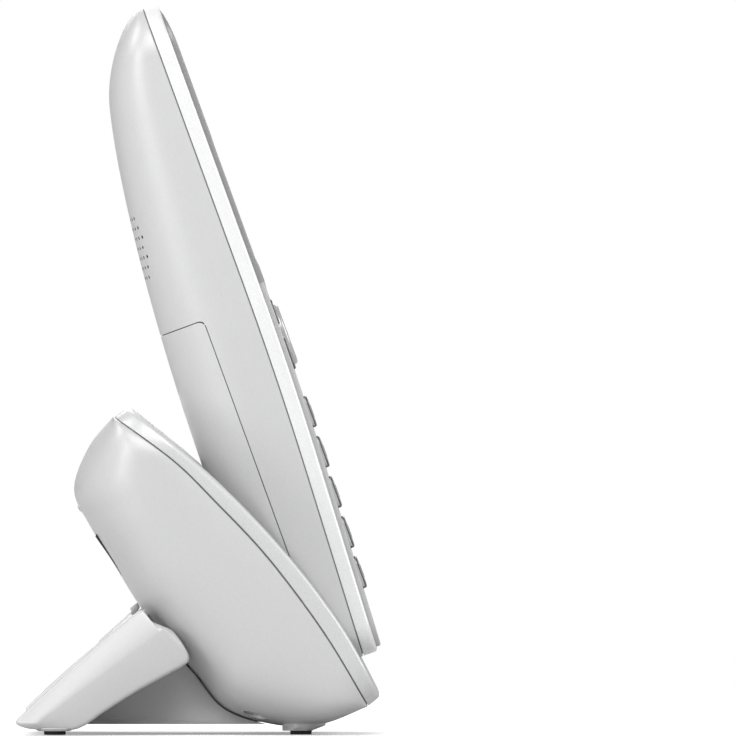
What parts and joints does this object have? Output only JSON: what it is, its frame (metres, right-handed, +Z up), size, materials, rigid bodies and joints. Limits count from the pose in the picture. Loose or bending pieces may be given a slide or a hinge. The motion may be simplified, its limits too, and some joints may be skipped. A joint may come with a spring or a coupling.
{
  "type": "cordless phone with base",
  "caption": "Cordless phone handset docked upright in the cradle of its main base, which leans back on a clip-on desk stand.",
  "frame": {"origin": "centre of the bounding box at desk level, under the rubber pads", "axes": "+Z up, the longest extent; +Y toward the back, the shortest extent; the keypad faces -Y; X across the phone"},
  "size_m": [0.1, 0.0907, 0.1822],
  "materials": {
    "shell_plastic": "light silver-grey moulded plastic, fine satin grain",
    "band_plastic": "bright silver satin plastic with fine metal flake",
    "plate_plastic": "mid grey satin plastic",
    "key_plastic": "pale grey key caps, slightly translucent",
    "lens_plastic": "clear smoked display window",
    "screen_glass": "display module, grey-green, unlit",
    "black_plastic": "black moulded plastic",
    "board": "green circuit board",
    "silicone": "grey silicone rubber",
    "battery_wrap": "blue shrink wrap",
    "contact_metal": "nickel-plated spring metal",
    "screw_steel": "plated steel",
    "pad_rubber": "soft black rubber",
    "lamp": "translucent red lamp"
  },
  "bodies": {
    "base": {"base_lower_shell": "shell_plastic", "base_top_cover": "band_plastic", "base_circuit_board": "board", "charge_contacts": "contact_metal", "base_ringer": "black_plastic", "line_jack": "black_plastic", "power_jack": "black_plastic", "in_use_light": "lamp", "base_screws": "screw_steel", "base_feet": "pad_rubber", "desk_stand": "shell_plastic", "stand_feet": "pad_rubber"},
    "handset": {"handset_rear_shell": "shell_plastic", "handset_front_shell": "band_plastic", "faceplate": "plate_plastic", "display_lens": "lens_plastic", "lcd_module": "screen_glass", "earpiece_speaker": "black_plastic", "speakerphone_driver": "black_plastic", "microphone": "black_plastic", "handset_circuit_board": "board", "keypad_mat": "silicone", "battery_pack": "battery_wrap", "battery_door": "shell_plastic", "battery_contacts": "contact_metal", "handset_contact_plates": "contact_metal", "handset_screws": "screw_steel"},
    "key_1": {"key_1": "key_plastic"},
    "key_2": {"key_2": "key_plastic"},
    "key_3": {"key_3": "key_plastic"},
    "key_4": {"key_4": "key_plastic"},
    "key_5": {"key_5": "key_plastic"},
    "key_6": {"key_6": "key_plastic"},
    "key_7": {"key_7": "key_plastic"},
    "key_8": {"key_8": "key_plastic"},
    "key_9": {"key_9": "key_plastic"},
    "key_star": {"key_star": "key_plastic"},
    "key_0": {"key_0": "key_plastic"},
    "key_pound": {"key_pound": "key_plastic"},
    "key_redial": {"key_redial": "key_plastic"},
    "key_speaker": {"key_speaker": "key_plastic"},
    "key_mute": {"key_mute": "key_plastic"},
    "softkey_left": {"softkey_left": "key_plastic"},
    "softkey_right": {"softkey_right": "key_plastic"},
    "talk_key": {"talk_key": "key_plastic"},
    "off_key": {"off_key": "key_plastic"},
    "nav_key": {"nav_key": "key_plastic"},
    "find_handset_key": {"find_handset_key": "key_plastic"}
  },
  "joints": [
    {"name": "handset_lift", "type": "slide", "parent": "base", "child": "handset", "axis": [0, 0.342, 0.9397], "range_m": [0, 0.075]},
    {"name": "key_1_press", "type": "slide", "parent": "handset", "child": "key_1", "axis": [0, 0.9397, -0.342], "range_m": [0, 0.0006], "stiffness_N_per_m": 300, "springref_m": -0.0005},
    {"name": "key_2_press", "type": "slide", "parent": "handset", "child": "key_2", "axis": [0, 0.9397, -0.342], "range_m": [0, 0.0006], "stiffness_N_per_m": 300, "springref_m": -0.0005},
    {"name": "key_3_press", "type": "slide", "parent": "handset", "child": "key_3", "axis": [0, 0.9397, -0.342], "range_m": [0, 0.0006], "stiffness_N_per_m": 300, "springref_m": -0.0005},
    {"name": "key_4_press", "type": "slide", "parent": "handset", "child": "key_4", "axis": [0, 0.9397, -0.342], "range_m": [0, 0.0006], "stiffness_N_per_m": 300, "springref_m": -0.0005},
    {"name": "key_5_press", "type": "slide", "parent": "handset", "child": "key_5", "axis": [0, 0.9397, -0.342], "range_m": [0, 0.0006], "stiffness_N_per_m": 300, "springref_m": -0.0005},
    {"name": "key_6_press", "type": "slide", "parent": "handset", "child": "key_6", "axis": [0, 0.9397, -0.342], "range_m": [0, 0.0006], "stiffness_N_per_m": 300, "springref_m": -0.0005},
    {"name": "key_7_press", "type": "slide", "parent": "handset", "child": "key_7", "axis": [0, 0.9397, -0.342], "range_m": [0, 0.0006], "stiffness_N_per_m": 300, "springref_m": -0.0005},
    {"name": "key_8_press", "type": "slide", "parent": "handset", "child": "key_8", "axis": [0, 0.9397, -0.342], "range_m": [0, 0.0006], "stiffness_N_per_m": 300, "springref_m": -0.0005},
    {"name": "key_9_press", "type": "slide", "parent": "handset", "child": "key_9", "axis": [0, 0.9397, -0.342], "range_m": [0, 0.0006], "stiffness_N_per_m": 300, "springref_m": -0.0005},
    {"name": "key_star_press", "type": "slide", "parent": "handset", "child": "key_star", "axis": [0, 0.9397, -0.342], "range_m": [0, 0.0006], "stiffness_N_per_m": 300, "springref_m": -0.0005},
    {"name": "key_0_press", "type": "slide", "parent": "handset", "child": "key_0", "axis": [0, 0.9397, -0.342], "range_m": [0, 0.0006], "stiffness_N_per_m": 300, "springref_m": -0.0005},
    {"name": "key_pound_press", "type": "slide", "parent": "handset", "child": "key_pound", "axis": [0, 0.9397, -0.342], "range_m": [0, 0.0006], "stiffness_N_per_m": 300, "springref_m": -0.0005},
    {"name": "key_redial_press", "type": "slide", "parent": "handset", "child": "key_redial", "axis": [0, 0.9397, -0.342], "range_m": [0, 0.0006], "stiffness_N_per_m": 300, "springref_m": -0.0005},
    {"name": "key_speaker_press", "type": "slide", "parent": "handset", "child": "key_speaker", "axis": [0, 0.9397, -0.342], "range_m": [0, 0.0006], "stiffness_N_per_m": 300, "springref_m": -0.0005},
    {"name": "key_mute_press", "type": "slide", "parent": "handset", "child": "key_mute", "axis": [0, 0.9397, -0.342], "range_m": [0, 0.0006], "stiffness_N_per_m": 300, "springref_m": -0.0005},
    {"name": "softkey_left_press", "type": "slide", "parent": "handset", "child": "softkey_left", "axis": [0, 0.9397, -0.342], "range_m": [0, 0.0006], "stiffness_N_per_m": 300, "springref_m": -0.0005},
    {"name": "softkey_right_press", "type": "slide", "parent": "handset", "child": "softkey_right", "axis": [0, 0.9397, -0.342], "range_m": [0, 0.0006], "stiffness_N_per_m": 300, "springref_m": -0.0005},
    {"name": "talk_key_press", "type": "slide", "parent": "handset", "child": "talk_key", "axis": [0, 0.9397, -0.342], "range_m": [0, 0.0006], "stiffness_N_per_m": 300, "springref_m": -0.0005},
    {"name": "off_key_press", "type": "slide", "parent": "handset", "child": "off_key", "axis": [0, 0.9397, -0.342], "range_m": [0, 0.0006], "stiffness_N_per_m": 300, "springref_m": -0.0005},
    {"name": "nav_key_rock", "type": "hinge", "parent": "handset", "child": "nav_key", "pos_m": [0, -0.01646, 0.09809], "axis": [1, 0, 0], "range_deg": [-1.8, 1.8], "stiffness_Nm_per_rad": 0.3},
    {"name": "find_key_press", "type": "slide", "parent": "base", "child": "find_handset_key", "axis": [0, 0.6361, -0.7716], "range_m": [0, 0.0007], "stiffness_N_per_m": 300, "springref_m": -0.0005}
  ]
}
